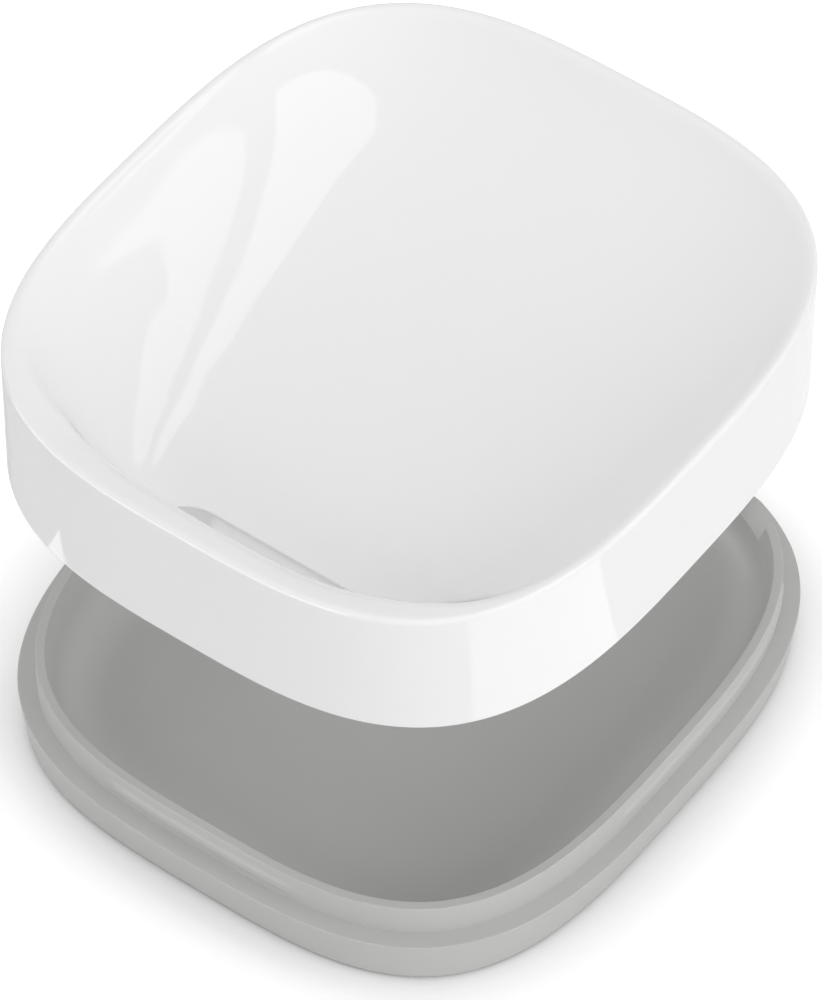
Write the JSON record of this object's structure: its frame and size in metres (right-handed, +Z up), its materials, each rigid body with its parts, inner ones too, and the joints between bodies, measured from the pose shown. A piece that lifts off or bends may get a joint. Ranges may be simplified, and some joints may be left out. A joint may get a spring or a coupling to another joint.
{
  "type": "soap dish",
  "caption": "Self-draining soap dish: a glossy rounded-square bowl with a drain slot lifts off a satin drip tray that has a pouring gap and non-slip feet.",
  "frame": {"origin": "centre of the footprint, on the surface that the feet stand on", "axes": "+Z up; -Y is the front, where the drain slot is; +Y is the rear, where the tray's pouring gap is; +X is the right seen from the front"},
  "size_m": [0.111, 0.1208, 0.0909],
  "materials": {
    "white_gloss_plastic": "high gloss",
    "grey_satin_plastic": "satin",
    "dark_grey_rubber": "matt"
  },
  "bodies": {
    "tray": {"drip_tray": "grey_satin_plastic", "foot_front_left": "dark_grey_rubber", "foot_front_right": "dark_grey_rubber", "foot_rear_left": "dark_grey_rubber", "foot_rear_right": "dark_grey_rubber"},
    "dish": {"soap_dish": "white_gloss_plastic"}
  },
  "joints": [
    {"name": "dish_lift", "type": "slide", "parent": "tray", "child": "dish", "axis": [0, 0, 1], "range_m": [-0.0554, 0]}
  ]
}
